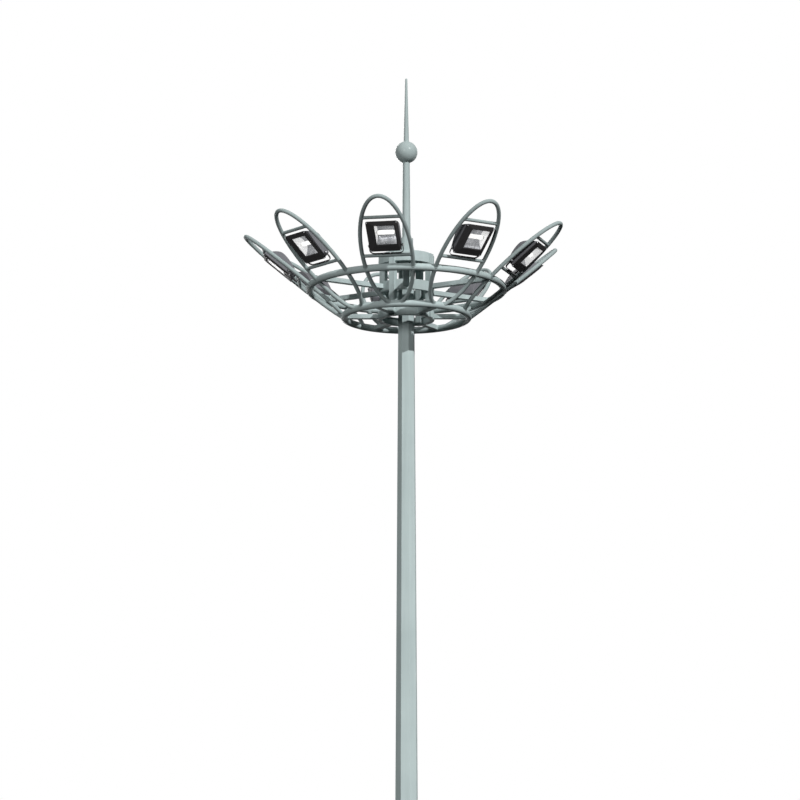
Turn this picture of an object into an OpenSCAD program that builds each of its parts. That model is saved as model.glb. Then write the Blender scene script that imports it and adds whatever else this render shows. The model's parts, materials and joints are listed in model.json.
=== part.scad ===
// High mast floodlight tower: a tapered octagonal mast with a lowering carriage of nine petal frames,
// each petal holding a floodlight that tilts in its stirrup. Millimetres, +Z up, origin under the flange.

/* [Mast] */
// Height of the top of the shaft above the underside of the base flange
mast_h = 15000; // [12000:100:18000]
// Corner radius of the octagonal shaft at its top
shaft_top_r = 100; // [85:1:130]
// Growth of the shaft's corner radius for each metre down
shaft_taper = 6; // [4:0.1:8]
// Wall of both shaft sections
shaft_wall = 6; // [4:0.5:10]
// Height of the lower end of the upper section
joint_z = 7000; // [5000:100:8000]
// Lap of the slip joint between the two sections
joint_lap = 500; // [300:10:800]
// Turn of the octagon's first corner about the mast's axis
shaft_turn = 15; // [0:1:45]

/* [Base] */
// Radius of the base flange
flange_r = 320; // [300:1:400]
// Thickness of the base flange
flange_t = 30; // [20:1:50]
// Anchor bolt circle
bolt_pcd = 540; // [500:1:580]
// Anchor bolt holes
bolt_hole_d = 36; // [24:1:45]
// Height of the gussets above the flange
gusset_h = 220; // [150:5:350]
// Thickness of the gussets
gusset_t = 14; // [8:1:20]
// Outer edge of the gussets from the mast's axis
gusset_r = 300; // [280:1:315]
// Height of the toe at a gusset's outer edge
gusset_toe = 25; // [10:1:60]
// Height of the service door's lower edge
door_z = 600; // [400:10:900]
// Width of the service door's opening
door_w = 90; // [70:1:100]
// Height of the service door's opening
door_h = 420; // [300:10:600]
// Lap of the door's cover over the edge of the opening
door_lap = 12; // [8:1:16]
// Thickness of the door's cover
door_t = 5; // [3:1:8]

/* [Mast head] */
// Radius of the lid that the carriage docks against
lid_r = 340; // [320:1:345]
// Thickness of the lid
lid_t = 12; // [8:1:20]
// Radius of the finial's collar
collar_r = 85; // [70:1:110]
// Height of the finial's collar
collar_h = 225; // [150:5:300]
// Radius of the finial's stem at the collar
stem_r1 = 54; // [45:1:70]
// Radius of the finial's stem at the ball
stem_r2 = 44; // [30:1:60]
// Height of the ball's centre above the collar
ball_rise = 1126; // [800:1:1400]
// Radius of the ball
ball_r = 142; // [110:1:180]
// Radius of the spike at the ball
spike_r1 = 34; // [25:1:50]
// Radius of the spike near its tip
spike_r2 = 14; // [8:1:20]
// Length of the spike
spike_h = 836; // [500:1:1000]

/* [Carriage hub] */
// Radius of the lower ring's centre line
lower_ring_r = 775; // [700:1:850]
// Radius of the upper ring's centre line
upper_ring_r = 1215; // [1150:1:1300]
// Height of the upper ring above the lower ring's centre line
upper_ring_z = 352; // [320:1:400]
// Diameter of the ring tubes
ring_tube_d = 89; // [80:1:100]
// Outer radius of the hub's bands
band_r = 350; // [345:1:355]
// Width of the bands' flanges
band_flange = 50; // [35:1:55]
// Thickness of the bands' web and flanges
band_t = 8; // [5:1:12]
// Height of the bottom band
bottom_band_h = 100; // [80:1:120]
// Height of the middle band
middle_band_h = 125; // [100:1:150]
// Height of the top band
top_band_h = 121; // [100:1:150]
// Depth of the hub's lower edge below the lower ring's centre line
hub_below = 45; // [40:1:60]
// Height of the hub's upper edge above the lower ring's centre line
hub_above = 770; // [700:1:850]
// Height of the middle band's centre above the lower ring's centre line
middle_band_z = 348; // [340:1:355]
// Side of the hub's square columns
column_w = 75; // [60:1:90]
// Radius of the columns' centres
column_r = 331; // [325:1:335]
// Width of the arms
arm_w = 75; // [60:1:90]
// Height of the arms
arm_h = 55; // [40:1:65]
// Height of the lower arms' centre above the lower ring's centre line
lower_arm_z = 5; // [0:1:8]

/* [Petals] */
// Angle of the first petal from the front
petal_turn = -9.75; // [-20:0.25:20]
// Half the width of a petal's loop, on the tube's centre line
petal_half_w = 307; // [290:1:330]
// Distance of the loop's tip above the upper rail, on the tube's centre line
petal_tip = 310; // [260:1:360]
// Diameter of the petal tubes
petal_tube_d = 51; // [45:1:56]
// Diameter of the two rails across a petal
rail_d = 42; // [34:1:46]
// Distance of the lower rail above the upper ring, along the petal
rail_up = 183; // [175:1:220]
// Gap between a floodlight's upper edge and the upper rail
rail_clear = 9; // [9:1:40]

/* [Floodlights] */
// Width of a floodlight's front frame
light_w = 392; // [370:1:398]
// Length of a floodlight along its petal
light_len = 443; // [430:1:455]
// Gap between a floodlight's lower edge and the base of its stirrup
light_gap = 62; // [55:1:75]
// Height of the tilt pivot above the floodlight's lower edge
pivot_up = 51; // [40:1:60]
// Distance of the frame's back face from the petal's plane
frame_back = 40; // [32:1:44]
// Thickness of the front frame's skirt
skirt_t = 10; // [7:1:14]
// Height of the hood above the skirt
hood_h = 12; // [9:1:18]
// Corner radius of the skirt
skirt_corner = 22; // [12:1:40]
// Setback of the hood's foot from the edge of the skirt
hood_inset = 8; // [6:1:14]
// Width of the window
window_w = 256; // [220:1:270]
// Length of the window along the petal
window_len = 288; // [260:1:300]
// Sideways offset of the window
window_shift = 28; // [0:1:30]
// Height of the window's lower edge above the floodlight's lower edge
window_up = 100; // [90:1:110]
// Width of the hood's rim around the window
hood_rim = 13; // [11:1:20]
// Lap of the glass behind the rim
glass_lap = 8; // [5:1:10]
// Thickness of the glass
glass_t = 5; // [3:0.5:8]
// Depth of the rim in front of the glass
rim_t = 8; // [5:1:12]
// Width of the housing
housing_w = 376; // [360:1:380]
// Length of the housing along the petal
housing_len = 427; // [410:1:433]
// Depth of the housing's hump behind the housing's front
hump_depth = 152; // [140:1:175]
// Place of the hump's crest, as a share of the housing's length
hump_crest = 0.57; // [0.5:0.01:0.6]
// Depth of the housing at its lower end
low_depth = 89; // [80:1:110]
// Depth of the housing at its upper end
high_depth = 8; // [6:1:20]
// Wall between the reflector's trough and the housing's crest
housing_wall = 36; // [30:1:50]
// Width of the trough's floor
trough_w = 236; // [200:1:250]
// Length of the trough's floor
trough_len = 150; // [120:1:160]
// Diameter of the lamp
lamp_d = 54; // [40:1:60]
// Place of the lamp's centre behind the front frame
lamp_back = 46; // [40:1:54]
// Place of the lamp's centre below the middle of the window
lamp_drop = 2; // [0:1:16]
// Width of the stirrup's strip
stirrup_w = 20; // [16:1:30]
// Thickness of the stirrup's strip
stirrup_t = 6; // [4:1:8]
// Running gap between the housing's sides and the stirrup's ears
ear_gap = 16; // [14:1:18]
// Diameter of the round ears at the ends of the stirrup
ear_d = 44; // [36:1:50]
// Outer corner radius of the stirrup
stirrup_corner = 58; // [40:1:70]
// Diameter of the tilt pins
pin_d = 16; // [10:1:20]
// Width of the saddle that clamps the stirrup to its rail
saddle_w = 120; // [80:1:160]
// Height of the saddle between the rail and the stirrup
saddle_h = 7; // [5:1:15]

/* [Fits] */
// Gap of the slip joint, the dock and the welded tube ends
seat_gap = 0.3; // [0.2:0.05:0.5]
// Clearance between the petal tubes' coped ends and the rings
cope_gap = 1.3; // [1.2:0.05:1.6]
// Clearance of the tilt pins in the stirrup's holes
pin_gap = 0.3; // [0.1:0.05:0.5]

/* [Hidden] */
$fn = 48;
petal_count = 9;
bolt_count = 8;
steel = [0.62, 0.68, 0.67];
black = [0.13, 0.12, 0.13];
grey = [0.42, 0.42, 0.44];
flat_turn = 22.5;
flat = cos(flat_turn);
through = 1;
column_angles = [-30, 60, 150, 240];
upper_arm_angles = [0 : 60 : 300];
lower_arm_angles = [30 : 60 : 330];
ring_z = mast_h - seat_gap - hub_above;
tube_r = petal_tube_d / 2;
rail_r = rail_d / 2;
// The loops' plane meets the upper ring this far to the side, so both tubes cross it near its middle
seat_side = 0.6 * petal_half_w;
tilt = atan2(upper_ring_z, sqrt(pow(upper_ring_r, 2) - pow(seat_side, 2)) - lower_ring_r);
tube_sides = 10;
tip_steps = 36;
leg_steps = 8;
rail_low = upper_ring_z / sin(tilt) + rail_up;
stirrup_base = rail_low + rail_r + saddle_h;
light_low = stirrup_base + stirrup_t + light_gap;
light_high = light_low + light_len;
housing_low = light_low + (light_len - housing_len) / 2;
housing_high = housing_low + housing_len;
rail_high = light_high + rail_clear + rail_r;
petal_len = rail_high + petal_tip;
half_len = petal_len / 2;
pivot_u = light_low + pivot_up;
window_u = light_low + window_up + window_len / 2;
window_top = frame_back + skirt_t + hood_h;
glass_top = window_top - rim_t;
ear_in = housing_w / 2 + ear_gap;
ear_out = ear_in + stirrup_t;

// Corner radius of the upper section's outside at a height
function upper_r(z) = shaft_top_r + shaft_taper * (mast_h - z) / 1000;
// Corner radius of the lower section's outside, which fits inside the upper one
function lower_r(z) = upper_r(z) - (shaft_wall + seat_gap) / flat;

// Octagonal frustum from four tapered slabs, standing on z = 0
module octagon_taper(r1, r2, h) {
    rotate([0, 0, shaft_turn + flat_turn])
        intersection_for (k = [0 : 3])
            rotate([90, 0, 45 * k])
                translate([0, 0, -2 * r1])
                    linear_extrude(4 * r1)
                        polygon([[-r1 * flat, 0], [r1 * flat, 0], [r2 * flat, h], [-r2 * flat, h]]);
}

// Frustum with a base of [width, length], a top of the same form, and the top's middle moved by shift
module frustum(base, top, shift, h) {
    reach = base.x + base.y + top.x + top.y;
    intersection() {
        rotate([90, 0, 0])
            translate([0, 0, -reach])
                linear_extrude(2 * reach)
                    polygon([[-base.x / 2, 0], [base.x / 2, 0],
                             [shift.x + top.x / 2, h], [shift.x - top.x / 2, h]]);
        rotate([90, 0, 90])
            translate([0, 0, -reach])
                linear_extrude(2 * reach)
                    polygon([[-base.y / 2, 0], [base.y / 2, 0],
                             [shift.y + top.y / 2, h], [shift.y - top.y / 2, h]]);
    }
}

// Rectangle centred on the origin with rounded corners
module rounded_rect(size, r) {
    square([size.x - 2 * r, size.y], center = true);
    square([size.x, size.y - 2 * r], center = true);
    for (x = [-1, 1], y = [-1, 1])
        translate([x * (size.x / 2 - r), y * (size.y / 2 - r)])
            circle(r);
}

// One tapered shell section of the shaft
module shaft_section(z1, z2, r1, r2) {
    slope = (r1 - r2) / (z2 - z1);
    inset = shaft_wall / flat;
    translate([0, 0, z1])
        difference() {
            octagon_taper(r1, r2, z2 - z1);
            translate([0, 0, -through])
                octagon_taper(r1 - inset + slope * through, r2 - inset - slope * through,
                              z2 - z1 + 2 * through);
        }
}

// Places children on the shaft facet nearest the front, with +Y up the facet and +Z out of it
module on_door_facet(z) {
    lean = atan(shaft_taper * flat / 1000);
    rotate([0, 0, shaft_turn + flat_turn + 225])
        translate([lower_r(z) * flat, 0, z])
            rotate([90 - lean, 0, 90])
                children();
}

module base_flange() {
    color(steel)
        difference() {
            cylinder(r = flange_r, h = flange_t);
            for (k = [0 : bolt_count - 1])
                rotate([0, 0, shaft_turn + 360 / bolt_count * k])
                    translate([bolt_pcd / 2, 0, -through])
                        cylinder(d = bolt_hole_d, h = flange_t + 2 * through);
        }
}

module base_gussets() {
    foot = lower_r(flange_t) * flat;
    head = lower_r(flange_t + gusset_h) * flat;
    head_w = 18;
    color(steel)
        for (k = [0 : 7])
            rotate([0, 0, shaft_turn + flat_turn + 45 * k])
                translate([0, gusset_t / 2, flange_t])
                    rotate([90, 0, 0])
                        linear_extrude(gusset_t)
                            polygon([[foot, 0], [gusset_r, 0], [gusset_r, gusset_toe],
                                     [head + head_w, gusset_h], [head, gusset_h]]);
}

module lower_shaft() {
    top = joint_z + joint_lap;
    color(steel)
        difference() {
            shaft_section(flange_t, top, lower_r(flange_t), lower_r(top));
            on_door_facet(door_z + door_h / 2)
                translate([0, 0, -3 * shaft_wall])
                    linear_extrude(6 * shaft_wall)
                        rounded_rect([door_w, door_h], door_w / 4);
        }
}

module upper_shaft() {
    color(steel)
        shaft_section(joint_z, mast_h, upper_r(joint_z), upper_r(mast_h));
}

module service_door() {
    color(steel)
        on_door_facet(door_z + door_h / 2)
            linear_extrude(door_t)
                rounded_rect([door_w + 2 * door_lap, door_h + 2 * door_lap], door_w / 4);
}

module head_lid() {
    color(steel)
        translate([0, 0, mast_h])
            cylinder(r = lid_r, h = lid_t, $fn = 96);
}

collar_z = mast_h + lid_t + collar_h;
ball_z = collar_z + ball_rise;
ball_foot = ball_z - sqrt(pow(ball_r, 2) - pow(stem_r2, 2));
ball_head = ball_z + sqrt(pow(ball_r, 2) - pow(spike_r1, 2));

module finial_collar() {
    color(steel)
        translate([0, 0, mast_h + lid_t])
            cylinder(r = collar_r, h = collar_h);
}

module finial_stem() {
    color(steel)
        translate([0, 0, collar_z])
            cylinder(r1 = stem_r1, r2 = stem_r2, h = ball_foot - collar_z);
}

// The ball has a flat at each pole, where the stem and the spike are welded on
module finial_ball() {
    color(steel)
        intersection() {
            translate([0, 0, ball_z])
                sphere(ball_r, $fn = 64);
            translate([0, 0, ball_foot])
                cylinder(r = 2 * ball_r, h = ball_head - ball_foot);
        }
}

module finial_spike() {
    color(steel)
        translate([0, 0, ball_head])
            rotate_extrude()
                polygon([[0, 0], [spike_r1, 0], [spike_r2, spike_h - spike_r2],
                         [0.7 * spike_r2, spike_h - 0.3 * spike_r2], [0, spike_h]]);
}

// The four square columns of the hub, longer at both ends by extra where they cut another piece
module columns(extra = 0) {
    for (a = column_angles)
        rotate([0, 0, a])
            translate([-column_w / 2, -column_r - column_w / 2, ring_z - hub_below - extra])
                cube([column_w, column_w, hub_above + hub_below + 2 * extra]);
}

module hub_columns() {
    color(steel)
        columns();
}

// A rolled channel with its flanges inwards, cut where the columns pass
module band(z, h) {
    inner = band_r - band_flange;
    web = band_r - band_t;
    color(steel)
        difference() {
            translate([0, 0, ring_z + z])
                rotate_extrude($fn = 96)
                    polygon([[inner, 0], [band_r, 0], [band_r, h], [inner, h],
                             [inner, h - band_t], [web, h - band_t], [web, band_t], [inner, band_t]]);
            columns(through);
        }
}

module top_band() {
    band(hub_above - top_band_h, top_band_h);
}

module middle_band() {
    band(middle_band_z - middle_band_h / 2, middle_band_h);
}

module bottom_band() {
    band(-hub_below, bottom_band_h);
}

module ring(r, z) {
    translate([0, 0, ring_z + z])
        rotate_extrude($fn = 240)
            translate([r, 0])
                circle(d = ring_tube_d, $fn = 96);
}

module upper_ring() {
    color(steel)
        ring(upper_ring_r, upper_ring_z);
}

module lower_ring() {
    color(steel)
        ring(lower_ring_r, 0);
}

// Box arms from the hub to a ring, coped to the ring, the band and any column behind them
module arms(angles, ring_radius, z, ring_height) {
    color(steel)
        difference() {
            for (a = angles)
                rotate([0, 0, a])
                    translate([-arm_w / 2, -ring_radius, ring_z + z - arm_h / 2])
                        cube([arm_w, ring_radius - band_r + band_flange / 2, arm_h]);
            translate([0, 0, ring_z + z - arm_h])
                cylinder(r = band_r, h = 2 * arm_h, $fn = 96);
            columns();
            ring(ring_radius, ring_height);
        }
}

module upper_arms() {
    arms(upper_arm_angles, upper_ring_r, upper_ring_z, upper_ring_z);
}

module lower_arms() {
    arms(lower_arm_angles, lower_ring_r, lower_arm_z, 0);
}

// A petal's own frame: +X along the rails, +Y from its lower end to its tip, +Z out of its outer face
module at_petal(k) {
    translate([0, 0, ring_z])
        rotate([0, 0, petal_turn + 360 / petal_count * (k - 1)])
            translate([0, -lower_ring_r, 0])
                rotate([180 - tilt, 0, 0])
                    children();
}

// Centre line of the loop: an ellipse that starts at the lower ring
function loop_point(t) = [petal_half_w * sin(t), half_len * (1 - cos(t))];
function loop_dir(t) = let (d = [petal_half_w * cos(t), half_len * sin(t)]) d / norm(d);
function loop_angle(u) = acos(1 - u / half_len);
// Point at angle t round the loop and f round the tube, at a share of the tube's radius
function tube_point(t, f, share = 1) = let (c = loop_point(t), d = loop_dir(t), r = share * tube_r)
    [c.x + r * cos(f) * d.y, c.y - r * cos(f) * d.x, r * sin(f)];
// Distance of a point of the petal's frame from a ring's skin, less the coping clearance
function ring_distance(p, r, z) =
    norm([norm([lower_ring_r + p.y * cos(tilt) + p.z * sin(tilt), p.x]) - r,
          p.y * sin(tilt) - p.z * cos(tilt) - z]) - ring_tube_d / 2 - cope_gap;
// Angle round the loop where a line of the tube leaves a ring, found by halving
function coped(f, share, inside, outside, r, z, n = 24) =
    let (middle = (inside + outside) / 2)
    n == 0 ? middle
    : ring_distance(tube_point(middle, f, share), r, z) < 0 ? coped(f, share, middle, outside, r, z, n - 1)
    : coped(f, share, inside, middle, r, z, n - 1);
// A tube's end: its rim, a circle halfway in and its middle, each coped to the ring
function end_angles(inside, outside, r, z) =
    [for (share = end_shares) [for (f = tube_angles) coped(f, share, inside, outside, r, z)]];

// Where the loop's centre line passes the upper ring
cross_side = petal_half_w * sin(loop_angle(upper_ring_z / sin(tilt)));
cross_out = sqrt(pow(upper_ring_r, 2) - pow(cross_side, 2)) - lower_ring_r;
cross_t = loop_angle(cross_out * cos(tilt) + upper_ring_z * sin(tilt));
leg_t = cross_t / 2;
tube_angles = [for (j = [0 : tube_sides - 1]) 360 / tube_sides * j];
end_shares = [1, 0.5, 0];
foot_cope = end_angles(0, leg_t, lower_ring_r, 0);
knee_cope = end_angles(cross_t, leg_t, upper_ring_r, upper_ring_z);
tip_cope = end_angles(cross_t, 2 * cross_t, upper_ring_r, upper_ring_z);

function end_row(cope, i) =
    [for (j = [0 : tube_sides - 1]) tube_point(cope[i][j], tube_angles[j], end_shares[i])];

// Tube swept along the loop, with each of its sides running between its own two end angles.
// Its rows of points go from one end's middle out to the rim, along the skin and in to the other middle.
module loop_tube(from, to, steps) {
    n = tube_sides;
    skin = [for (i = [0 : steps]) [for (j = [0 : n - 1])
        tube_point(from[0][j] + (to[0][j] - from[0][j]) * i / steps, tube_angles[j])]];
    rows = concat([end_row(from, 1)], skin, [end_row(to, 1)]);
    points = concat([for (row = rows) each row], [end_row(from, 2)[0], end_row(to, 2)[0]]);
    last = len(rows) - 1;
    first_middle = len(rows) * n;
    sides = [for (i = [0 : last - 1], j = [0 : n - 1])
        let (a = i * n + j, b = i * n + (j + 1) % n) each [[a, b, b + n], [a, b + n, a + n]]];
    ends = [for (j = [0 : n - 1]) let (next = (j + 1) % n)
        each [[first_middle, next, j], [first_middle + 1, last * n + j, last * n + next]]];
    polyhedron(points, concat(sides, ends));
}

// A rail across the loop, coped to the tubes at both ends
module rail(u) {
    t = loop_angle(u);
    c = loop_point(t);
    d = loop_dir(t);
    difference() {
        translate([-c.x, u, 0])
            rotate([0, 90, 0])
                cylinder(r = rail_r, h = 2 * c.x);
        for (s = [-1, 1])
            translate([s * c.x, u, 0])
                rotate([-90, 0, -s * atan2(d.x, d.y)])
                    cylinder(r = tube_r + seat_gap, h = 8 * rail_r, center = true);
    }
}

module petal(k) {
    mirrored = [for (row = tip_cope) [for (t = row) 360 - t]];
    color(steel)
        at_petal(k) {
            loop_tube(tip_cope, mirrored, tip_steps);
            loop_tube(foot_cope, knee_cope, leg_steps);
            mirror([1, 0, 0])
                loop_tube(foot_cope, knee_cope, leg_steps);
            rail(rail_low);
            rail(rail_high);
        }
}

// U-shaped strip with round ears for the tilt pins, on a saddle that grips the lower rail
module stirrup() {
    size = [2 * ear_out, 2 * (pivot_u - stirrup_base)];
    difference() {
        union() {
            translate([0, pivot_u, -stirrup_w / 2])
                linear_extrude(stirrup_w)
                    difference() {
                        rounded_rect(size, stirrup_corner);
                        rounded_rect([2 * ear_in, size.y - 2 * stirrup_t], stirrup_corner - stirrup_t);
                        translate([-size.x, 0])
                            square(2 * size);
                    }
            for (s = [-1, 1])
                translate([s * (ear_in + stirrup_t / 2), pivot_u, 0])
                    rotate([0, 90, 0])
                        cylinder(d = ear_d, h = stirrup_t, center = true);
            translate([-saddle_w / 2, rail_low, -stirrup_w / 2])
                cube([saddle_w, stirrup_base + stirrup_t / 2 - rail_low, stirrup_w]);
        }
        translate([-saddle_w, rail_low, 0])
            rotate([0, 90, 0])
                cylinder(r = rail_r + seat_gap, h = 2 * saddle_w);
        translate([-2 * ear_out, pivot_u, 0])
            rotate([0, 90, 0])
                cylinder(d = pin_d + 2 * pin_gap, h = 4 * ear_out);
    }
}

module stirrups() {
    color(black)
        for (k = [1 : petal_count])
            at_petal(k)
                stirrup();
}

// Depth of the housing behind its front: a round hump that runs out to a thin upper edge
function housing_depth(share) =
    share > hump_crest
    ? high_depth + (hump_depth - high_depth) * sin(90 * (1 - share) / (1 - hump_crest))
    : low_depth + (hump_depth - low_depth) * sin(90 * share / hump_crest);

module housing(k) {
    back_steps = 20;
    trough_depth = hump_depth - housing_wall;
    pocket = [window_w + 2 * glass_lap, window_len + 2 * glass_lap];
    lamp_reach = trough_w / 2 + (pocket.x - trough_w) / 2;
    color(grey)
        at_petal(k) {
            difference() {
                translate([-housing_w / 2, 0, 0])
                    rotate([90, 0, 90])
                        linear_extrude(housing_w)
                            polygon(concat(
                                [[housing_low, frame_back], [housing_high, frame_back]],
                                [for (i = [back_steps : -1 : 0])
                                    [housing_low + housing_len * i / back_steps,
                                     frame_back - housing_depth(i / back_steps)]]));
                translate([window_shift, window_u, frame_back - trough_depth])
                    frustum([trough_w, trough_len], pocket, [0, 0], trough_depth + seat_gap);
            }
            translate([window_shift - lamp_reach, window_u - lamp_drop, frame_back - lamp_back])
                rotate([0, 90, 0])
                    cylinder(d = lamp_d, h = 2 * lamp_reach);
            for (s = [-1, 1])
                translate([s * (housing_w / 2 + ear_out) / 2, pivot_u, 0])
                    rotate([0, 90, 0])
                        cylinder(d = pin_d, h = ear_out - housing_w / 2 + 2 * through, center = true);
        }
}

module front_frame(k) {
    rim = [window_w + 2 * hood_rim, window_len + 2 * hood_rim];
    foot = [light_w - 2 * hood_inset, light_len - 2 * hood_inset];
    middle_u = light_low + light_len / 2;
    color(black)
        at_petal(k)
            difference() {
                union() {
                    translate([0, middle_u, frame_back])
                        linear_extrude(skirt_t)
                            rounded_rect([light_w, light_len], skirt_corner);
                    translate([0, middle_u, frame_back + skirt_t])
                        frustum(foot, rim, [window_shift, window_u - middle_u], hood_h);
                }
                translate([window_shift - window_w / 2, window_u - window_len / 2, frame_back])
                    cube([window_w, window_len, 2 * window_top]);
                translate([window_shift - window_w / 2 - glass_lap, window_u - window_len / 2 - glass_lap,
                           frame_back - through])
                    cube([window_w + 2 * glass_lap, window_len + 2 * glass_lap,
                          glass_top - frame_back + through]);
            }
}

module glass(k) {
    size = [window_w + 2 * glass_lap - 2 * seat_gap, window_len + 2 * glass_lap - 2 * seat_gap, glass_t];
    color([0.9, 0.93, 0.95, 0.5])
        at_petal(k)
            translate([window_shift - size.x / 2, window_u - size.y / 2, glass_top - glass_t])
                cube(size);
}

base_flange();
base_gussets();
lower_shaft();
upper_shaft();
service_door();
head_lid();
finial_collar();
finial_stem();
finial_ball();
finial_spike();
top_band();
middle_band();
bottom_band();
hub_columns();
upper_arms();
lower_arms();
upper_ring();
lower_ring();
stirrups();
for (k = [1 : petal_count]) {
    petal(k);
    housing(k);
    front_frame(k);
    glass(k);
}
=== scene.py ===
import json
import math

import bmesh
import bpy
from mathutils import Matrix, Vector

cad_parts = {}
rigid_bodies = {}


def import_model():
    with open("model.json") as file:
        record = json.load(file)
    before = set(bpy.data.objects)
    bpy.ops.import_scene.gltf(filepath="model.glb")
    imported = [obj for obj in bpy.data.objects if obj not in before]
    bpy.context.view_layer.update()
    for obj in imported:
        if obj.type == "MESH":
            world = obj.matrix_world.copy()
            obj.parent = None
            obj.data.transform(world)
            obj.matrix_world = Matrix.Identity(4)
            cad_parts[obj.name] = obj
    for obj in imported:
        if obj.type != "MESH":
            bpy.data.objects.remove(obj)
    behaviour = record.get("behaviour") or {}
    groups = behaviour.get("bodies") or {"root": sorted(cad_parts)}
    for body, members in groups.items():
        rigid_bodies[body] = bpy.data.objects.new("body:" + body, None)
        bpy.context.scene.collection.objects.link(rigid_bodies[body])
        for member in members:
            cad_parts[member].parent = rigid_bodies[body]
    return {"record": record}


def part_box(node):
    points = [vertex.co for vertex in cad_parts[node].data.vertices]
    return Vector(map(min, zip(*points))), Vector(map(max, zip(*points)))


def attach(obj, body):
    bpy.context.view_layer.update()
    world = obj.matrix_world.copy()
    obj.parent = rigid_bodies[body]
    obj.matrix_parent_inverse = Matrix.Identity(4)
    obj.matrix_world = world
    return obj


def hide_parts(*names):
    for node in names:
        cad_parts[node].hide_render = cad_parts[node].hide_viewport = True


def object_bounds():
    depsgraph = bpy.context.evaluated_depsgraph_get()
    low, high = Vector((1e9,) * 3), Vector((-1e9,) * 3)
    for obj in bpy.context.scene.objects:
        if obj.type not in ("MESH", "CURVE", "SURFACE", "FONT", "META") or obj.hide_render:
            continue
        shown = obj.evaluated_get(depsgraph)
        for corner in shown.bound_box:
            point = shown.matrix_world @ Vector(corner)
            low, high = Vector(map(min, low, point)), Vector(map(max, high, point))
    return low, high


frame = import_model()
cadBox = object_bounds()
scene = bpy.context.scene


# Places read from the frame

petalCount = 9
petals = range(1, petalCount + 1)
record = frame["record"]
tiltJoints = {j["name"]: j for j in record["behaviour"]["joints"] if j["name"].endswith("_tilt")}


def ringOf(node):
    low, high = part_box(node)
    tube = (high[2] - low[2]) / 2
    return {"tube": tube, "radius": high[0] - tube, "z": (high[2] + low[2]) / 2}


lowerRing = ringOf("lower_ring")
upperRing = ringOf("upper_ring")


# A petal's own frame: x along its rails, y from the lower ring to the tip, z out of its outer face
def petalMatrix(k):
    joint = tiltJoints[f"floodlight_{k}_tilt"]
    pivot, side = Vector(joint["pos_m"]), Vector(joint["axis"]).normalized()
    out = Vector((side.y, -side.x, 0))
    foot = out * lowerRing["radius"] + Vector((0, 0, lowerRing["z"]))
    along = (pivot - foot).normalized()
    matrix = Matrix((side, along, side.cross(along))).transposed().to_4x4()
    matrix.translation = foot
    return matrix


petalFrames = {k: petalMatrix(k) for k in petals}
pivotAlong = (Vector(tiltJoints["floodlight_1_tilt"]["pos_m"]) - petalFrames[1].translation).length
print("frame read: petals lean", round(math.degrees(math.asin(petalFrames[1].col[1][2])), 2), "degrees")


# Mesh helpers

mergeDistance = 0.00002
softEdge = 0.001  # bevel of small parts


def addPiece(name, bm, material, body, nodes=(), sharpAngle=35):
    bmesh.ops.remove_doubles(bm, verts=bm.verts[:], dist=mergeDistance)
    bmesh.ops.recalc_face_normals(bm, faces=bm.faces[:])
    mesh = bpy.data.meshes.new(name)
    bm.to_mesh(mesh)
    bm.free()
    mesh.materials.append(material)
    mesh.shade_smooth()
    mesh.set_sharp_from_angle(angle=math.radians(sharpAngle))
    piece = bpy.data.objects.new(name, mesh)
    scene.collection.objects.link(piece)
    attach(piece, body)
    if nodes:
        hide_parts(*nodes)


# Adds one bmesh to another, moved by a matrix, and frees it
def joinMoved(target, source, matrix):
    bmesh.ops.transform(source, matrix=matrix, verts=source.verts[:])
    mesh = bpy.data.meshes.new("moved")
    source.to_mesh(mesh)
    source.free()
    target.from_mesh(mesh)
    bpy.data.meshes.remove(mesh)


def bevelEdges(bm, edges, width, segments=3):
    bmesh.ops.bevel(bm, geom=edges, offset=width, offset_type="OFFSET", segments=segments, profile=0.5,
                    affect="EDGES", clamp_overlap=True, material=-1)


def bevelCorners(bm, verts, width, segments=6):
    bmesh.ops.bevel(bm, geom=verts, offset=width, offset_type="OFFSET", segments=segments, profile=0.5,
                    affect="VERTICES", clamp_overlap=True, material=-1)


def sharpEdges(bm, angle=40):
    return [e for e in bm.edges if len(e.link_faces) == 2 and e.calc_face_angle(0) > math.radians(angle)]


def newVerts(result):
    return [v for v in result["geom"] if isinstance(v, bmesh.types.BMVert)]


def newFaces(result):
    return [f for f in result["geom"] if isinstance(f, bmesh.types.BMFace)]


# Extrudes faces by a vector and gives back the faces at the far end
def pushFaces(bm, faces, vector):
    grown = bmesh.ops.extrude_face_region(bm, geom=faces)
    bmesh.ops.translate(bm, vec=vector, verts=newVerts(grown))
    bmesh.ops.delete(bm, geom=[f for f in faces if f.is_valid], context="FACES_ONLY")
    return newFaces(grown)


# Cylinder or cone that starts at a point and runs along a direction, with its ends bevelled
def addCylinder(bm, at, direction, radius, length, segments=24, topRadius=None, bevel=0.0):
    turn = Vector((0, 0, 1)).rotation_difference(Vector(direction)).to_matrix().to_4x4()
    place = Matrix.Translation(Vector(at)) @ turn @ Matrix.Translation((0, 0, length / 2))
    farRadius = radius if topRadius is None else topRadius
    made = bmesh.ops.create_cone(bm, cap_ends=True, segments=segments, radius1=radius, radius2=farRadius,
                                 depth=length, matrix=place)
    if bevel:
        caps = {f for v in made["verts"] for f in v.link_faces if len(f.verts) == segments}
        bevelEdges(bm, list({e for f in caps for e in f.edges}), bevel, 2)


def addBox(bm, low, high, bevel=0.0, segments=2):
    size = Vector(high) - Vector(low)
    place = Matrix.Translation((Vector(low) + Vector(high)) / 2) @ Matrix.Diagonal((*size, 1))
    made = bmesh.ops.create_cube(bm, size=1, matrix=place)
    if bevel:
        bevelEdges(bm, list({e for v in made["verts"] for e in v.link_edges}), bevel, segments)


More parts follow.
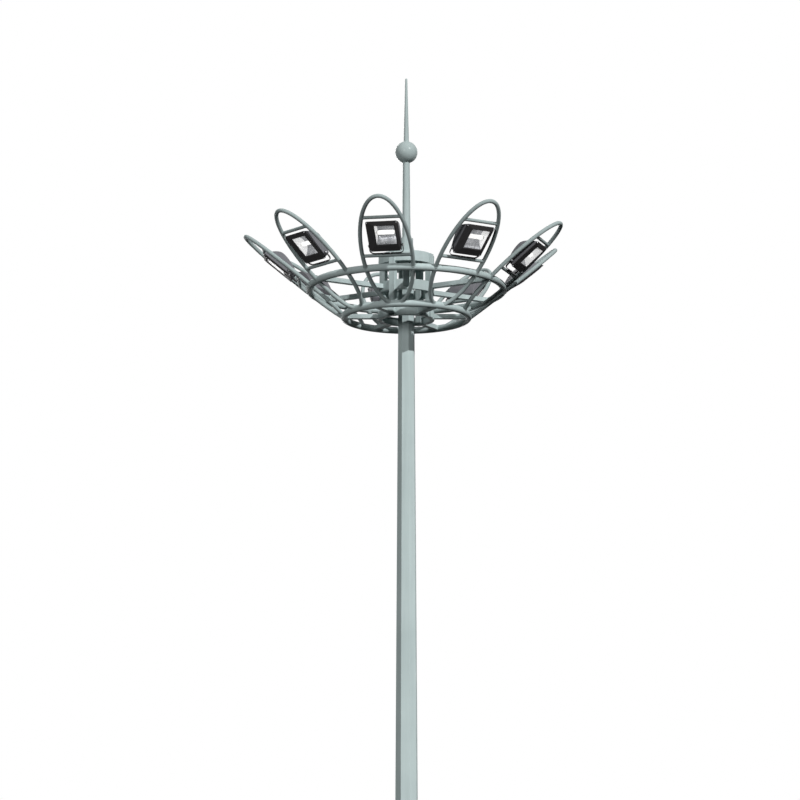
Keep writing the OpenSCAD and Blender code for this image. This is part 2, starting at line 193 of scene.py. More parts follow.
# Hexagon head or nut on a washer, standing on a face, in shares of its size
bolt = {"washer": 1.05, "washerHeight": 0.18, "washerBevel": 0.3, "head": 0.88, "headHeight": 0.66,
        "headBevel": 0.06}


def addBolt(bm, at, direction, size):
    at, direction = Vector(at), Vector(direction).normalized()
    washer = size * bolt["washerHeight"]
    addCylinder(bm, at, direction, size * bolt["washer"], washer, 20, bevel=washer * bolt["washerBevel"])
    addCylinder(bm, at + direction * washer, direction, size * bolt["head"], size * bolt["headHeight"], 6,
                bevel=size * bolt["headBevel"])


# Round bar along a row of points, as a bevelled curve made into a mesh
def addTube(bm, points, radius, closed=True, roundness=3):
    curve = bpy.data.curves.new("tubePath", "CURVE")
    curve.dimensions = "3D"
    curve.bevel_depth = radius
    curve.bevel_resolution = roundness
    curve.use_fill_caps = not closed
    spline = curve.splines.new("POLY")
    spline.points.add(len(points) - 1)
    for p, co in zip(spline.points, points):
        p.co = (*co, 1)
    spline.use_cyclic_u = closed
    holder = bpy.data.objects.new("tubePath", curve)
    mesh = bpy.data.meshes.new_from_object(holder)
    bm.from_mesh(mesh)
    bpy.data.objects.remove(holder)
    bpy.data.curves.remove(curve)
    bpy.data.meshes.remove(mesh)


# Points of a circle about the mast's axis, or of a regular polygon
def circlePoints(radius, z, count=72, turn=0.0):
    angles = [math.radians(turn) + 2 * math.pi * i / count for i in range(count)]
    return [Vector((radius * math.cos(a), radius * math.sin(a), z)) for a in angles]


# Direction out from the mast's axis, at an angle from the front
def outward(degrees):
    a = math.radians(degrees)
    return Vector((math.sin(a), -math.cos(a), 0))


# Direction across that one, level
def sideways(degrees):
    a = math.radians(degrees)
    return Vector((math.cos(a), math.sin(a), 0))


# Materials

noiseLow, noiseHigh = 0.3, 0.7  # most of a noise lies between these


def startMaterial(name):
    material = bpy.data.materials.new(name)
    material.use_nodes = True
    tree = material.node_tree
    place = tree.nodes.new("ShaderNodeTexCoord")
    return material, tree, tree.nodes["Principled BSDF"], place.outputs["Object"]


def addNoise(tree, place, scale, detail=4.0, stretch=None):
    noise = tree.nodes.new("ShaderNodeTexNoise")
    noise.inputs["Scale"].default_value = scale
    noise.inputs["Detail"].default_value = detail
    if stretch:
        mapping = tree.nodes.new("ShaderNodeMapping")
        mapping.inputs["Scale"].default_value = stretch
        tree.links.new(place, mapping.inputs["Vector"])
        place = mapping.outputs["Vector"]
    tree.links.new(place, noise.inputs["Vector"])
    return noise.outputs["Fac"]


def addRamp(tree, value, low, high, dark, light):
    ramp = tree.nodes.new("ShaderNodeValToRGB")
    for element, position, colour in zip(ramp.color_ramp.elements, (low, high), (dark, light)):
        element.position = position
        element.color = (*colour, 1)
    tree.links.new(value, ramp.inputs["Fac"])
    return ramp.outputs["Color"]


def addRange(tree, value, low, high):
    node = tree.nodes.new("ShaderNodeMapRange")
    node.inputs["From Min"].default_value = noiseLow
    node.inputs["From Max"].default_value = noiseHigh
    node.inputs["To Min"].default_value = low
    node.inputs["To Max"].default_value = high
    tree.links.new(value, node.inputs["Value"])
    return node.outputs["Result"]


def addBump(tree, value, strength, distance, shader):
    bump = tree.nodes.new("ShaderNodeBump")
    bump.inputs["Strength"].default_value = strength
    bump.inputs["Distance"].default_value = distance
    tree.links.new(value, bump.inputs["Height"])
    tree.links.new(bump.outputs["Normal"], shader.inputs["Normal"])


def multiplyColours(tree, first, second):
    mix = tree.nodes.new("ShaderNodeMix")
    mix.data_type = "RGBA"
    mix.blend_type = "MULTIPLY"
    mix.inputs["Factor"].default_value = 1.0
    tree.links.new(first, mix.inputs["A"])
    tree.links.new(second, mix.inputs["B"])
    return mix.outputs["Result"]


# Paint with faint mottling, rain streaks down the mast and a fine orange peel, and where asked a painted glow
# of lamp light
paintGrain = {"mottle": 1.7, "rain": 1.0, "rainStretch": (22, 22, 0.8), "rainEnd": 0.62, "gloss": 9,
              "peel": 420, "peelDepth": 0.0008, "paintedGlowColour": (1.0, 0.995, 0.985, 1)}


def makePaint(name, dark, light, roughness, streaks, peel, specular, glow=0.0):
    material, tree, shader, place = startMaterial(name)
    mottle = addRamp(tree, addNoise(tree, place, paintGrain["mottle"], 5), noiseLow, noiseHigh, dark, light)
    rain = addNoise(tree, place, paintGrain["rain"], 6, paintGrain["rainStretch"])
    streak = addRamp(tree, rain, noiseLow, paintGrain["rainEnd"], (1 - streaks,) * 3, (1, 1, 1))
    tree.links.new(multiplyColours(tree, mottle, streak), shader.inputs["Base Color"])
    gloss = addNoise(tree, place, paintGrain["gloss"], 3)
    tree.links.new(addRange(tree, gloss, *roughness), shader.inputs["Roughness"])
    shader.inputs["Specular IOR Level"].default_value = specular
    # A glow here is painted lamp light on the paint, not a lamp
    shader.inputs["Emission Color"].default_value = paintGrain["paintedGlowColour"]
    shader.inputs["Emission Strength"].default_value = glow
    addBump(tree, addNoise(tree, place, paintGrain["peel"], 2), peel, paintGrain["peelDepth"], shader)
    return material


# Bare metal with blotches and a grain, their scales as shares of the grain's
metalGrain = {"blotches": 0.2, "gloss": 0.5, "depth": 0.001}


def makeMetal(name, dark, light, roughness, grainScale, grain):
    material, tree, shader, place = startMaterial(name)
    shader.inputs["Metallic"].default_value = 1.0
    blotches = addNoise(tree, place, grainScale * metalGrain["blotches"], 5)
    tree.links.new(addRamp(tree, blotches, noiseLow, noiseHigh, dark, light), shader.inputs["Base Color"])
    gloss = addNoise(tree, place, grainScale * metalGrain["gloss"], 3)
    tree.links.new(addRange(tree, gloss, *roughness), shader.inputs["Roughness"])
    addBump(tree, addNoise(tree, place, grainScale, 2), grain, metalGrain["depth"], shader)
    return material


paints = {
    "steelPaint": {"dark": (0.395, 0.470, 0.467), "light": (0.445, 0.525, 0.520), "roughness": (0.34, 0.46),
                   "streaks": 0.08, "peel": 0.08, "specular": 0.005},
    # The petals' paint and weld are darker copies of the steel paint and weld paint: painted shade
    "petalShadedPaint": {"dark": (0.292, 0.348, 0.346), "light": (0.329, 0.389, 0.385), "roughness": (0.34, 0.46),
                   "streaks": 0.08, "peel": 0.08, "specular": 0.005},
    "petalShadedWeld": {"dark": (0.266, 0.318, 0.316), "light": (0.318, 0.374, 0.370), "roughness": (0.45, 0.62),
                  "streaks": 0.08, "peel": 0.5, "specular": 0.005},
    # The finial's paint is a darker copy of the steel paint, which is painted shade, with a real gloss
    "glossShadedPaint": {"dark": (0.320, 0.381, 0.378), "light": (0.360, 0.425, 0.421), "roughness": (0.20, 0.26),
                   "streaks": 0.03, "peel": 0.03, "specular": 0.07},
    "weldPaint": {"dark": (0.360, 0.430, 0.427), "light": (0.430, 0.505, 0.500), "roughness": (0.45, 0.62),
                  "streaks": 0.08, "peel": 0.5, "specular": 0.005},
    "blackCoat": {"dark": (0.056, 0.054, 0.056), "light": (0.068, 0.066, 0.068), "roughness": (0.36, 0.52),
                  "streaks": 0.05, "peel": 0.2, "specular": 0.004},
    "greyCoat": {"dark": (0.145, 0.146, 0.158), "light": (0.175, 0.176, 0.190), "roughness": (0.42, 0.56),
                 "streaks": 0.08, "peel": 0.2, "specular": 0.01},
    # The reflector's cheeks: white with a painted glow of lamp light, though they are no lamp
    "whiteCheekPaintedGlow": {"dark": (0.66, 0.66, 0.67), "light": (0.76, 0.76, 0.77), "roughness": (0.32, 0.46),
                   "streaks": 0.04, "peel": 0.1, "specular": 0.1, "glow": 0.58},
    "ceramic": {"dark": (0.62, 0.61, 0.58), "light": (0.70, 0.69, 0.66), "roughness": (0.3, 0.45),
                "streaks": 0.02, "peel": 0.05, "specular": 0.4},
    "sealRubber": {"dark": (0.012, 0.012, 0.013), "light": (0.020, 0.020, 0.021), "roughness": (0.6, 0.75),
                   "streaks": 0.02, "peel": 0.1, "specular": 0.2},
}
metals = {
    "zincMetal": {"dark": (0.42, 0.43, 0.44), "light": (0.58, 0.59, 0.60), "roughness": (0.32, 0.50),
                  "grainScale": 90, "grain": 0.15},
    "reflectorMetal": {"dark": (0.16, 0.165, 0.18), "light": (0.42, 0.43, 0.45), "roughness": (0.22, 0.40),
                       "grainScale": 60, "grain": 0.4},
}
finishes = {name: makePaint(name, **paint) for name, paint in paints.items()}
zincMetal = makeMetal("zincMetal", **metals["zincMetal"])
reflectorMetal = makeMetal("reflectorMetal", **metals["reflectorMetal"])
glassLook = {"colour": (0.86, 0.89, 0.90, 1), "alpha": 0.10, "roughness": (0.01, 0.04), "smears": 14}
lampLook = {"colour": (0.95, 0.95, 0.93, 1), "glow": (1.0, 0.985, 0.96, 1), "strength": 1.0,
            "roughness": (0.15, 0.3), "frost": 30}


def makeGlass():
    material, tree, shader, place = startMaterial("clearGlass")
    shader.inputs["Base Color"].default_value = glassLook["colour"]
    shader.inputs["Alpha"].default_value = glassLook["alpha"]
    smears = addNoise(tree, place, glassLook["smears"], 3)
    tree.links.new(addRange(tree, smears, *glassLook["roughness"]), shader.inputs["Roughness"])
    return material


def makeLamp():
    material, tree, shader, place = startMaterial("lampTube")
    shader.inputs["Base Color"].default_value = lampLook["colour"]
    shader.inputs["Emission Color"].default_value = lampLook["glow"]
    shader.inputs["Emission Strength"].default_value = lampLook["strength"]
    frost = addNoise(tree, place, lampLook["frost"], 2)
    tree.links.new(addRange(tree, frost, *lampLook["roughness"]), shader.inputs["Roughness"])
    return material


clearGlass = makeGlass()
lampTube = makeLamp()
print("materials made")


# Finishes of the CAD solids, with a gloss and painted shade on the finial, whose paint is a darker copy of
# the steel paint

slotFinish = {"steel": finishes["steelPaint"], "black": finishes["blackCoat"], "grey": finishes["greyCoat"],
              "glass": clearGlass}
for part in record["subparts"]:
    solid = bpy.data.objects[part["node"]]
    finial = part["node"].startswith("finial")
    solid.data.materials.clear()
    solid.data.materials.append(finishes["glossShadedPaint"] if finial else slotFinish[part["material_slot"]])


# Sizes of a floodlight, its stirrup and its petal

light = {"width": 0.392, "length": 0.443, "pivotUp": 0.051, "gap": 0.062, "frameBack": 0.040, "skirt": 0.010,
         "hood": 0.012, "corner": 0.022, "inset": 0.008, "windowWidth": 0.256, "windowLength": 0.288,
         "windowShift": 0.028, "windowUp": 0.100, "rim": 0.013, "rimDepth": 0.008, "glass": 0.005}
stirrup = {"width": 0.020, "thick": 0.006, "corner": 0.058, "earGap": 0.016, "ear": 0.044, "saddle": 0.120,
           "saddleHeight": 0.007, "saddleSeat": 0.8, "saddleLap": 0.001, "pivotBolt": 0.013,
           "saddleBolt": 0.008, "boltShare": 0.33}
petal = {"halfWidth": 0.307, "tube": 0.0255, "rail": 0.021, "tip": 0.310, "railClear": 0.009, "steps": 144}
lightLow = pivotAlong - light["pivotUp"]
lightHigh = lightLow + light["length"]
lightMiddle = (lightLow + lightHigh) / 2
windowAlong = lightLow + light["windowUp"] + light["windowLength"] / 2
frameTop = light["frameBack"] + light["skirt"] + light["hood"]
glassTop = frameTop - light["rimDepth"]
stirrupBase = lightLow - light["gap"] - stirrup["thick"]
railLow = stirrupBase - stirrup["saddleHeight"] - petal["rail"]
railHigh = lightHigh + petal["railClear"] + petal["rail"]
halfLength = (railHigh + petal["tip"]) / 2


# Petals: an elliptical tube loop with two rails, welded to both rings

bead = {"radius": 0.0055, "points": 24, "halvings": 18, "railShare": 0.7}


def loopPoint(t):
    return Vector((petal["halfWidth"] * math.sin(t), halfLength * (1 - math.cos(t)), 0))


def loopDirection(t):
    return Vector((petal["halfWidth"] * math.cos(t), halfLength * math.sin(t), 0)).normalized()


def loopAngle(along):
    return math.acos(1 - along / halfLength)


# Point on the tube's skin, at angle t round the loop and f round the tube
def skinPoint(t, f):
    d = loopDirection(t)
    across = Vector((d.y, -d.x, 0))
    return loopPoint(t) + petal["tube"] * (math.cos(f) * across + math.sin(f) * Vector((0, 0, 1)))


def insideRing(point, ring):
    p = petalFrames[1] @ point
    return math.hypot(math.hypot(p.x, p.y) - ring["radius"], p.z - ring["z"]) < ring["tube"]


# Seam of the tube and a ring, between an angle inside the ring and one outside it
def ringSeam(ring, inside, outside):
    points = []
    for i in range(bead["points"]):
        f = 2 * math.pi * i / bead["points"]
        a, b = inside, outside
        for halving in range(bead["halvings"]):
            middle = (a + b) / 2
            a, b = (middle, b) if insideRing(skinPoint(middle, f), ring) else (a, middle)
        points.append(skinPoint(b, f))
    return points


# Seam of a rail's end and the tube that it meets
def railSeam(along, side):
    points = []
    for i in range(bead["points"]):
        f = 2 * math.pi * i / bead["points"]
        height = petal["rail"] * math.sin(f)
        place = along + petal["rail"] * math.cos(f)
        sink = math.sqrt(petal["tube"] ** 2 - height ** 2)
        reach = petal["halfWidth"] * math.sin(loopAngle(place)) - sink
        points.append(Vector((side * reach, place, height)))
    return points


def mirrored(points):
    return [Vector((-p.x, p.y, p.z)) for p in points]


# Where the loop passes the upper ring
ringStep = Vector((upperRing["radius"] - lowerRing["radius"], upperRing["z"] - lowerRing["z"]))
kneeAngle = loopAngle(ringStep.length)


def buildPetal():
    bm = bmesh.new()
    steps = petal["steps"]
    addTube(bm, [loopPoint(2 * math.pi * i / steps) for i in range(steps)], petal["tube"], True, 5)
    for along in (railLow, railHigh):
        reach = petal["halfWidth"] * math.sin(loopAngle(along))
        addCylinder(bm, (-reach, along, 0), (1, 0, 0), petal["rail"], 2 * reach, 28)
    return bm


def buildPetalWelds():
    bm = bmesh.new()
    seams = [ringSeam(lowerRing, 0.0, kneeAngle / 2), ringSeam(upperRing, kneeAngle, kneeAngle / 2),
             ringSeam(upperRing, kneeAngle, 2 * kneeAngle)]
    for points in seams:
        addTube(bm, points, bead["radius"], True, 2)
        addTube(bm, mirrored(points), bead["radius"], True, 2)
    for along in (railLow, railHigh):
        for side in (-1, 1):
            addTube(bm, railSeam(along, side), bead["radius"] * bead["railShare"], True, 2)
    return bm


# The petals and their welds take the darker paint copies: painted shade
for k in petals:
    bm = bmesh.new()
    joinMoved(bm, buildPetal(), petalFrames[k])
    addPiece(f"petal_loop_{k}", bm, finishes["petalShadedPaint"], "carriage", [f"petal_{k}"], 60)
    bm = bmesh.new()
    joinMoved(bm, buildPetalWelds(), petalFrames[k])
    addPiece(f"petal_welds_{k}", bm, finishes["petalShadedWeld"], "carriage", (), 60)
print("petals made")


# Makes a piece in a petal's own frame once for each floodlight
def onEachFloodlight(name, build, material, node=None, sharpAngle=35):
    for k in petals:
        bm = bmesh.new()
        joinMoved(bm, build(), petalFrames[k])
        nodes = [f"{node}_{k}"] if node else ()
        addPiece(f"{name}_{k}", bm, material, f"floodlight_{k}", nodes, sharpAngle)


# Housing: a die-cast back with a skewed hump, an open pocket for the reflector and two tilt pins

housing = {"width": 0.376, "length": 0.427, "hump": 0.152, "crest": 0.57, "lowDepth": 0.089,
           "highDepth": 0.008, "steps": 28, "edge": 0.008, "wall": 0.036, "inset": 0.010, "lap": 0.008,
           "floorWidth": 0.236, "floorLength": 0.150, "pin": 0.008, "boss": 0.018, "bossSunk": 0.004,
           "bossReach": 0.006}
earIn = housing["width"] / 2 + stirrup["earGap"]
earOut = earIn + stirrup["thick"]


# Depth behind the housing's front, at a share of its length
def housingDepth(share):
    if share > housing["crest"]:
        end, run = housing["highDepth"], (1 - share) / (1 - housing["crest"])
    else:
        end, run = housing["lowDepth"], share / housing["crest"]
    return end + (housing["hump"] - end) * math.sin(math.pi / 2 * run)


# Spreads a face's corners to a rectangle about the window's middle
def squareToWindow(verts, width, length, z):
    for v in verts:
        v.co.x = light["windowShift"] + math.copysign(width / 2, v.co.x - light["windowShift"])
        v.co.y = windowAlong + math.copysign(length / 2, v.co.y - windowAlong)
        v.co.z = z


def buildHousing():
    bm = bmesh.new()
    half, steps, back = housing["width"] / 2, housing["steps"], light["frameBack"]
    low = lightMiddle - housing["length"] / 2
    outline = [(low, back), (low + housing["length"], back)]
    for i in range(steps, -1, -1):
        outline.append((low + housing["length"] * i / steps, back - housingDepth(i / steps)))
    cheek = bm.faces.new([bm.verts.new((-half, u, w)) for u, w in outline])
    grown = bmesh.ops.extrude_face_region(bm, geom=[cheek])
    bmesh.ops.translate(bm, vec=(2 * half, 0, 0), verts=newVerts(grown))
    bmesh.ops.recalc_face_normals(bm, faces=bm.faces[:])
    front = max(bm.faces, key=lambda f: f.normal.z * f.calc_area())
    bevelEdges(bm, [e for e in sharpEdges(bm, 30) if front not in e.link_faces], housing["edge"], 4)
    front = max(bm.faces, key=lambda f: f.normal.z * f.calc_area())
    bmesh.ops.inset_region(bm, faces=[front], thickness=housing["inset"])
    squareToWindow(front.verts, light["windowWidth"] + 2 * housing["lap"],
                   light["windowLength"] + 2 * housing["lap"], back)
    floor = pushFaces(bm, [front], (0, 0, 0))
    squareToWindow([v for f in floor for v in f.verts], housing["floorWidth"], housing["floorLength"],
                   back + housing["wall"] - housing["hump"])
    for side in (-1, 1):
        addCylinder(bm, (side * (half - housing["bossSunk"]), pivotAlong, 0), (side, 0, 0), housing["boss"],
                    housing["bossSunk"] + housing["bossReach"], 28, bevel=softEdge)
        addCylinder(bm, (side * half, pivotAlong, 0), (side, 0, 0), housing["pin"], earOut - half, 20)
    return bm


onEachFloodlight("housing_shell", buildHousing, finishes["greyCoat"], "housing", 32)
print("housings made")


# Front frame: a skirt with round corners, a sloping hood and a rim around the window

frontFrame = {"edge": 0.0025, "screw": 0.007, "screwTop": 0.8, "screwHeight": 0.006, "screwSunk": 0.001,
              "screwInset": 0.014}


def buildFrontFrame():
    bm = bmesh.new()
    place = Matrix.Translation((0, lightMiddle, light["frameBack"]))
    place = place @ Matrix.Diagonal((light["width"], light["length"], 1, 1))
    bmesh.ops.create_grid(bm, x_segments=1, y_segments=1, size=0.5, matrix=place)
    bevelCorners(bm, bm.verts[:], light["corner"])
    outer = bm.edges[:]
    top = pushFaces(bm, bm.faces[:], (0, 0, light["skirt"]))
    bmesh.ops.inset_region(bm, faces=top, thickness=light["inset"])
    crown = pushFaces(bm, top, (0, 0, light["hood"]))
    grow = ((light["windowWidth"] + 2 * light["rim"]) / (light["width"] - 2 * light["inset"]),
            (light["windowLength"] + 2 * light["rim"]) / (light["length"] - 2 * light["inset"]))
    for v in crown[0].verts:
        v.co.x = light["windowShift"] + v.co.x * grow[0]
        v.co.y = windowAlong + (v.co.y - lightMiddle) * grow[1]
    bmesh.ops.inset_region(bm, faces=crown, thickness=light["rim"])
    floor = pushFaces(bm, crown, (0, 0, light["frameBack"] - frameTop))
    inner = list(floor[0].edges)
    bmesh.ops.delete(bm, geom=floor, context="FACES_ONLY")
    bmesh.ops.bridge_loops(bm, edges=[e for e in outer if e.is_valid] + inner)
    bmesh.ops.recalc_face_normals(bm, faces=bm.faces[:])
    bevelEdges(bm, sharpEdges(bm, 25), frontFrame["edge"], 3)
    return bm


# Four screws that hold the frame to the housing, at the skirt's corners
def buildFrameScrews():
    bm = bmesh.new()
    inset, radius = frontFrame["screwInset"], frontFrame["screw"]
    seat = light["frameBack"] + light["skirt"] - frontFrame["screwSunk"]
    for x in (-1, 1):
        for y in (lightLow + inset, lightHigh - inset):
            addCylinder(bm, (x * (light["width"] / 2 - inset), y, seat), (0, 0, 1), radius,
                        frontFrame["screwHeight"], 20, topRadius=radius * frontFrame["screwTop"])
    return bm


onEachFloodlight("front_hood", buildFrontFrame, finishes["blackCoat"], "front_frame", 30)
onEachFloodlight("frame_screws", buildFrameScrews, zincMetal)
print("front frames made")


# Window: a glass pane in a rubber seal

seal = {"width": 0.005, "height": 0.003, "clear": 0.0006, "lift": 0.0002, "edge": 0.0008}


# Rectangular frame about the window, from its outer size, wall and height
def addWindowFrame(bm, width, length, wall, low, high):
    place = Matrix.Translation((light["windowShift"], windowAlong, low))
    place = place @ Matrix.Diagonal((width, length, 1, 1))
    made = bmesh.ops.create_grid(bm, x_segments=1, y_segments=1, size=0.5, matrix=place)
    middle = made["verts"][0].link_faces[0]
    ring = bmesh.ops.inset_region(bm, faces=[middle], thickness=wall, use_boundary=True, use_even_offset=True)
    bmesh.ops.delete(bm, geom=[middle], context="FACES")
    grown = bmesh.ops.extrude_face_region(bm, geom=ring["faces"])
    bmesh.ops.translate(bm, vec=(0, 0, high - low), verts=newVerts(grown))


def buildGlass():
    bm = bmesh.new()
    half = Vector((light["windowWidth"] / 2 - seal["clear"], light["windowLength"] / 2 - seal["clear"], 0))
    middle = Vector((light["windowShift"], windowAlong, 0))
    low, high = Vector((0, 0, glassTop - light["glass"])), Vector((0, 0, glassTop))
    addBox(bm, middle - half + low, middle + half + high, seal["edge"])
    return bm


def buildSeal():
    bm = bmesh.new()
    addWindowFrame(bm, light["windowWidth"] - 2 * seal["clear"], light["windowLength"] - 2 * seal["clear"],
                   seal["width"], glassTop + seal["lift"], glassTop + seal["height"])
    bevelEdges(bm, bm.edges[:], seal["edge"], 2)
    return bm


onEachFloodlight("window_glass", buildGlass, clearGlass, "glass")
onEachFloodlight("window_seal", buildSeal, finishes["sealRubber"])
print("windows made")


# Reflector: a bent trough between two sloping cheeks that glow with painted lamp light, with the tube lamp
# across it

reflector = {"edge": 0.0015, "gap": 0.002, "depth": 0.121, "bend": 3, "steps": 18, "taper": 0.012,
             "sheet": 0.0012}
lamp = {"radius": 0.027, "length": 0.216, "drop": 0.002, "back": 0.046, "cut": 0.0001, "socket": 0.017,
        "socketLap": 0.006, "socketClear": 0.012}
reflectorHalf = Vector((light["windowWidth"] / 2 - reflector["edge"],
                        light["windowLength"] / 2 - reflector["edge"]))
reflectorTop = glassTop - light["glass"] - reflector["gap"]


# The trough's profile from one end to the other: along the petal, and how deep as a share
def troughProfile():
    shares = [-1 + 2 * i / reflector["steps"] for i in range(reflector["steps"] + 1)]
    return [(windowAlong + s * reflectorHalf.y, 1 - abs(s) ** reflector["bend"]) for s in shares]


def reflectorPoint(side, along, depth):
    reach = reflectorHalf.x - reflector["taper"] * depth
    return Vector((light["windowShift"] + side * reach, along, reflectorTop - reflector["depth"] * depth))


def buildTrough():
    bm = bmesh.new()
    edge = [bm.verts.new(reflectorPoint(-1, *p)) for p in troughProfile()]
    chain = [bm.edges.new(pair) for pair in zip(edge, edge[1:])]
    grown = newVerts(bmesh.ops.extrude_edge_only(bm, edges=chain))
    for v in grown:
        v.co.x = 2 * light["windowShift"] - v.co.x
    bmesh.ops.recalc_face_normals(bm, faces=bm.faces[:])
    bmesh.ops.solidify(bm, geom=bm.faces[:], thickness=reflector["sheet"])
    return bm


def buildCheeks():
    bm = bmesh.new()
    for side in (-1, 1):
        bm.faces.new([bm.verts.new(reflectorPoint(side, *p)) for p in troughProfile()])
    bmesh.ops.recalc_face_normals(bm, faces=bm.faces[:])
    bmesh.ops.solidify(bm, geom=bm.faces[:], thickness=reflector["sheet"])
    return bm


lampPlace = Vector((light["windowShift"], windowAlong - lamp["drop"], light["frameBack"] - lamp["back"]))


# Half of the tube with its round end, mirrored
def buildLamp():
    bm = bmesh.new()
    bmesh.ops.create_uvsphere(bm, u_segments=24, v_segments=12, radius=lamp["radius"])
    bmesh.ops.rotate(bm, cent=(0, 0, 0), matrix=Matrix.Rotation(math.pi / 2, 3, "Y"), verts=bm.verts[:])
    bmesh.ops.bisect_plane(bm, geom=bm.verts[:] + bm.edges[:] + bm.faces[:], plane_co=(lamp["cut"], 0, 0),
                           plane_no=(1, 0, 0), clear_inner=True)
    bmesh.ops.translate(bm, vec=(lamp["length"] / 2 - lamp["radius"], 0, 0), verts=bm.verts[:])
    rim = [e for e in bm.edges if e.is_boundary]
    grown = newVerts(bmesh.ops.extrude_edge_only(bm, edges=rim))
    for v in grown:
        v.co.x = 0
    bmesh.ops.mirror(bm, geom=bm.verts[:] + bm.edges[:] + bm.faces[:], axis="X", merge_dist=lamp["cut"])
    bmesh.ops.translate(bm, vec=lampPlace, verts=bm.verts[:])
    return bm


def buildSockets():
    bm = bmesh.new()
    reach = lamp["length"] / 2 - lamp["socketLap"]
    length = reflectorHalf.x - lamp["socketClear"] - reach
    for side in (-1, 1):
        addCylinder(bm, lampPlace + Vector((side * reach, 0, 0)), (side, 0, 0), lamp["socket"], length, 20,
                    bevel=softEdge)
    return bm


onEachFloodlight("reflector_trough", buildTrough, reflectorMetal, None, 40)
onEachFloodlight("reflector_cheeks", buildCheeks, finishes["whiteCheekPaintedGlow"])
onEachFloodlight("lamp_tube", buildLamp, lampTube, None, 60)
onEachFloodlight("lamp_sockets", buildSockets, finishes["ceramic"])
print("reflectors and lamps made")


# Stirrups: a bent strip with round ears on a saddle, pivot nuts and the saddle's bolts

def buildStirrup():
    bm = bmesh.new()
    half = stirrup["width"] / 2
    path = [(-earOut, pivotAlong), (-earOut, stirrupBase), (earOut, stirrupBase), (earOut, pivotAlong)]
    corners = [bm.verts.new((x, y, -half)) for x, y in path]
    for pair in zip(corners, corners[1:]):
        bm.edges.new(pair)
    bevelCorners(bm, corners[1:3], stirrup["corner"], 9)
    grown = bmesh.ops.extrude_edge_only(bm, edges=bm.edges[:])
    bmesh.ops.translate(bm, vec=(0, 0, stirrup["width"]), verts=newVerts(grown))
    bmesh.ops.recalc_face_normals(bm, faces=bm.faces[:])
    base = min(bm.faces, key=lambda f: f.calc_center_median().y)
    inwards = 1 if base.normal.y < 0 else -1
    bmesh.ops.solidify(bm, geom=bm.faces[:], thickness=inwards * stirrup["thick"])
    bevelEdges(bm, sharpEdges(bm, 60), softEdge, 2)
    for side in (-1, 1):
        addCylinder(bm, (side * earIn, pivotAlong, 0), (side, 0, 0), stirrup["ear"] / 2, stirrup["thick"], 36,
                    bevel=softEdge)
    saddle = Vector((stirrup["saddle"] / 2, 0, half))
    seat = Vector((0, railLow + petal["rail"] * stirrup["saddleSeat"], 0))
    addBox(bm, seat - saddle, Vector((0, stirrupBase + stirrup["saddleLap"], 0)) + saddle, softEdge)
    return bm


def buildStirrupBolts():
    bm = bmesh.new()
    for side in (-1, 1):
        addBolt(bm, (side * earOut, pivotAlong, 0), (side, 0, 0), stirrup["pivotBolt"])
        across = side * stirrup["saddle"] * stirrup["boltShare"]
        addBolt(bm, (across, stirrupBase + stirrup["thick"], 0), (0, 1, 0), stirrup["saddleBolt"])
    return bm


straps, bolts = bmesh.new(), bmesh.new()
for k in petals:
    joinMoved(straps, buildStirrup(), petalFrames[k])
    joinMoved(bolts, buildStirrupBolts(), petalFrames[k])
addPiece("stirrup_straps", straps, finishes["blackCoat"], "carriage", ["stirrups"])
addPiece("stirrup_bolts", bolts, zincMetal, "carriage")
print("stirrups made")


# Hub and arms: weld beads where the arms, columns, bands and rings meet

hub = {"bandRadius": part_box("top_band")[1][0], "columnRadius": 0.331, "columnWidth": 0.075,
       "columnAngles": (-30, 60, 150, 240), "armWidth": 0.075, "armHeight": 0.055, "bead": 0.005}


# Points round an arm's rectangular end, as places across it and up it
def armOutline(steps=5):
    x, z = hub["armWidth"] / 2, hub["armHeight"] / 2
    corners = [(-x, -z), (x, -z), (x, z), (-x, z)]
    points = []
    for a, b in zip(corners, corners[1:] + corners[:1]):
        points += [(a[0] + (b[0] - a[0]) * i / steps, a[1] + (b[1] - a[1]) * i / steps) for i in range(steps)]
    return points


def addArmBeads(bm, angle, ring, armZ):
    out, side = outward(angle), sideways(angle)
    onColumn = angle % 360 in [a % 360 for a in hub["columnAngles"]]
    inner, outer = [], []
    for x, z in armOutline():
        rise = Vector((0, 0, armZ + z))
        foot = math.sqrt(hub["bandRadius"] ** 2 - x * x)
        if onColumn:
            foot = hub["columnRadius"] + hub["columnWidth"] / 2
        tip = ring["radius"] - math.sqrt(max(0.0, ring["tube"] ** 2 - (armZ + z - ring["z"]) ** 2))
        inner.append(out * foot + side * x + rise)
        outer.append(out * math.sqrt(tip ** 2 - x * x) + side * x + rise)
    addTube(bm, inner, hub["bead"], True, 2)
    addTube(bm, outer, hub["bead"], True, 2)


def addColumnBeads(bm, angle):
    out, side = outward(angle), sideways(angle)
    half = hub["columnWidth"] / 2
    for band in ("top_band", "middle_band", "bottom_band"):
        low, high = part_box(band)[0][2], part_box(band)[1][2]
        for x in (-half, half):
            at = out * math.sqrt(hub["bandRadius"] ** 2 - half ** 2) + side * x
            addTube(bm, [at + Vector((0, 0, low)), at + Vector((0, 0, high))], hub["bead"], False, 2)


def middleHeight(node):
    low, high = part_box(node)
    return (low[2] + high[2]) / 2


bm = bmesh.new()
for angle in range(0, 360, 60):
    addArmBeads(bm, angle, upperRing, middleHeight("upper_arms"))
    addArmBeads(bm, angle + 30, lowerRing, middleHeight("lower_arms"))
for angle in hub["columnAngles"]:
    addColumnBeads(bm, angle)
addPiece("hub_welds", bm, finishes["weldPaint"], "carriage", (), 60)
print("hub welds made")


# Mast: weld beads of the shaft and finial, anchor studs and the fittings of the service door

